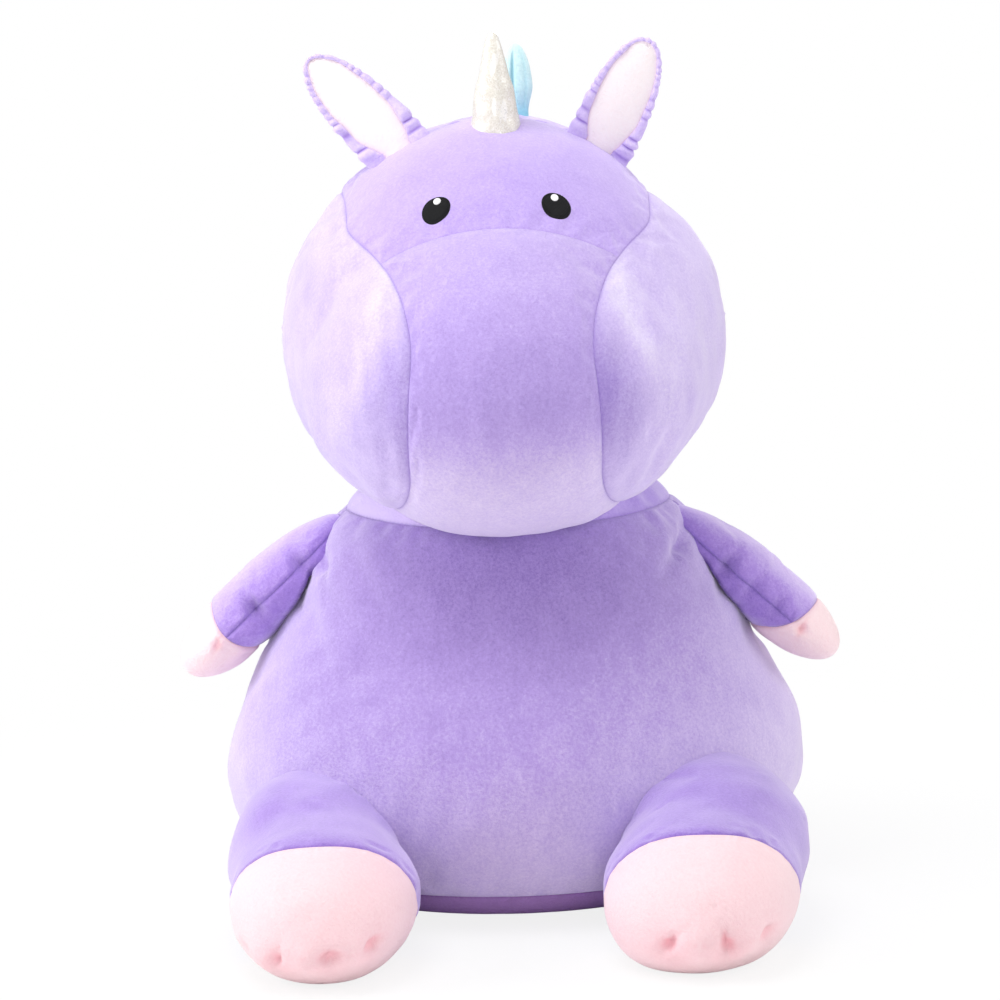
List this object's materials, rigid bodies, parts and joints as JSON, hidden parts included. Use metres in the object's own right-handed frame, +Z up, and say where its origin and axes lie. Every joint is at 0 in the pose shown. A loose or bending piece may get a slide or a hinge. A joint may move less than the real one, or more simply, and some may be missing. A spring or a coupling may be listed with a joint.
{
  "type": "plush unicorn",
  "caption": "Sitting plush unicorn of lilac pile cloth with a big soft muzzle, glitter horn, pale-lined ears, aqua mane, pink hands and pink feet.",
  "frame": {"origin": "on the ground under the middle of the flat seat", "axes": "+Z up, the face looks along -Y, +X is the toy's own left"},
  "size_m": [0.5819, 0.6308, 0.7576],
  "materials": {
    "stuffing": "loose white fibre",
    "lilac_pile": "short soft pile with a pale sheen",
    "purple_base": "short soft pile, darker",
    "pink_pile": "short soft pile",
    "ear_lining": "smooth plush",
    "aqua_pile": "short soft pile",
    "glitter_cloth": "glitter coated cloth",
    "black_thread": "satin embroidery",
    "white_thread": "satin embroidery"
  },
  "bodies": {
    "torso": {"body_filling": "stuffing", "belly_panel": "lilac_pile", "left_back_panel": "lilac_pile", "right_back_panel": "lilac_pile", "base_panel": "purple_base", "neck_collar": "lilac_pile"},
    "head": {"head_filling": "stuffing", "left_cheek_panel": "lilac_pile", "right_cheek_panel": "lilac_pile", "muzzle_panel": "lilac_pile", "forehead_panel": "lilac_pile", "left_head_back_panel": "lilac_pile", "right_head_back_panel": "lilac_pile", "left_eye": "black_thread", "right_eye": "black_thread", "left_eye_glint": "white_thread", "right_eye_glint": "white_thread", "horn_cover": "glitter_cloth", "horn_filling": "stuffing"},
    "left_ear": {"left_ear_back": "lilac_pile", "left_ear_lining": "ear_lining"},
    "left_arm": {"left_arm_filling": "stuffing", "left_arm_upper_panel": "lilac_pile", "left_arm_under_panel": "lilac_pile", "left_hand": "pink_pile"},
    "left_leg": {"left_leg_filling": "stuffing", "left_thigh": "lilac_pile", "left_foot": "pink_pile"},
    "right_ear": {"right_ear_back": "lilac_pile", "right_ear_lining": "ear_lining"},
    "right_arm": {"right_arm_filling": "stuffing", "right_arm_upper_panel": "lilac_pile", "right_arm_under_panel": "lilac_pile", "right_hand": "pink_pile"},
    "right_leg": {"right_leg_filling": "stuffing", "right_thigh": "lilac_pile", "right_foot": "pink_pile"},
    "fore_tuft": {"fore_tuft": "aqua_pile"},
    "middle_tuft": {"middle_tuft": "aqua_pile"},
    "nape_tuft": {"nape_tuft": "aqua_pile"},
    "tail": {"tail": "aqua_pile"}
  },
  "joints": [
    {"name": "head_nod", "type": "hinge", "parent": "torso", "child": "head", "pos_m": [0, 0.02, 0.36], "axis": [1, 0, 0], "range_deg": [-8, 6], "stiffness_Nm_per_rad": 60},
    {"name": "left_ear_fold", "type": "hinge", "parent": "head", "child": "left_ear", "pos_m": [0.09043, -0.03605, 0.66267], "axis": [0.845, 0, -0.5347], "range_deg": [-35, 20], "stiffness_Nm_per_rad": 0.05},
    {"name": "right_ear_fold", "type": "hinge", "parent": "head", "child": "right_ear", "pos_m": [-0.08644, -0.0363, 0.66508], "axis": [0.8567, 0, 0.5158], "range_deg": [-15, 40], "stiffness_Nm_per_rad": 0.05},
    {"name": "fore_tuft_bend", "type": "hinge", "parent": "head", "child": "fore_tuft", "pos_m": [0.02074, 0.01161, 0.68929], "axis": [1, 0, 0], "range_deg": [-20, 25], "stiffness_Nm_per_rad": 0.03},
    {"name": "middle_tuft_bend", "type": "hinge", "parent": "head", "child": "middle_tuft", "pos_m": [0, 0.09048, 0.65141], "axis": [1, 0, 0], "range_deg": [-15, 30], "stiffness_Nm_per_rad": 0.03},
    {"name": "nape_tuft_bend", "type": "hinge", "parent": "head", "child": "nape_tuft", "pos_m": [0, 0.13927, 0.57435], "axis": [1, 0, 0], "range_deg": [-15, 30], "stiffness_Nm_per_rad": 0.03},
    {"name": "tail_lift", "type": "hinge", "parent": "torso", "child": "tail", "pos_m": [0, 0.22104, 0.12408], "axis": [1, 0, 0], "range_deg": [0, 40], "stiffness_Nm_per_rad": 0.1},
    {"name": "left_arm_raise", "type": "hinge", "parent": "torso", "child": "left_arm", "pos_m": [0.14, -0.012, 0.355], "axis": [0, -1, 0], "range_deg": [0, 60], "stiffness_Nm_per_rad": 0.5},
    {"name": "right_arm_raise", "type": "hinge", "parent": "torso", "child": "right_arm", "pos_m": [-0.14, -0.012, 0.355], "axis": [0, 1, 0], "range_deg": [0, 60], "stiffness_Nm_per_rad": 0.5},
    {"name": "left_leg_lift", "type": "hinge", "parent": "torso", "child": "left_leg", "pos_m": [0.169, -0.07, 0.148], "axis": [-1, 0, 0], "range_deg": [0, 15], "stiffness_Nm_per_rad": 4},
    {"name": "right_leg_lift", "type": "hinge", "parent": "torso", "child": "right_leg", "pos_m": [-0.181, -0.07, 0.148], "axis": [-1, 0, 0], "range_deg": [0, 15], "stiffness_Nm_per_rad": 4}
  ]
}
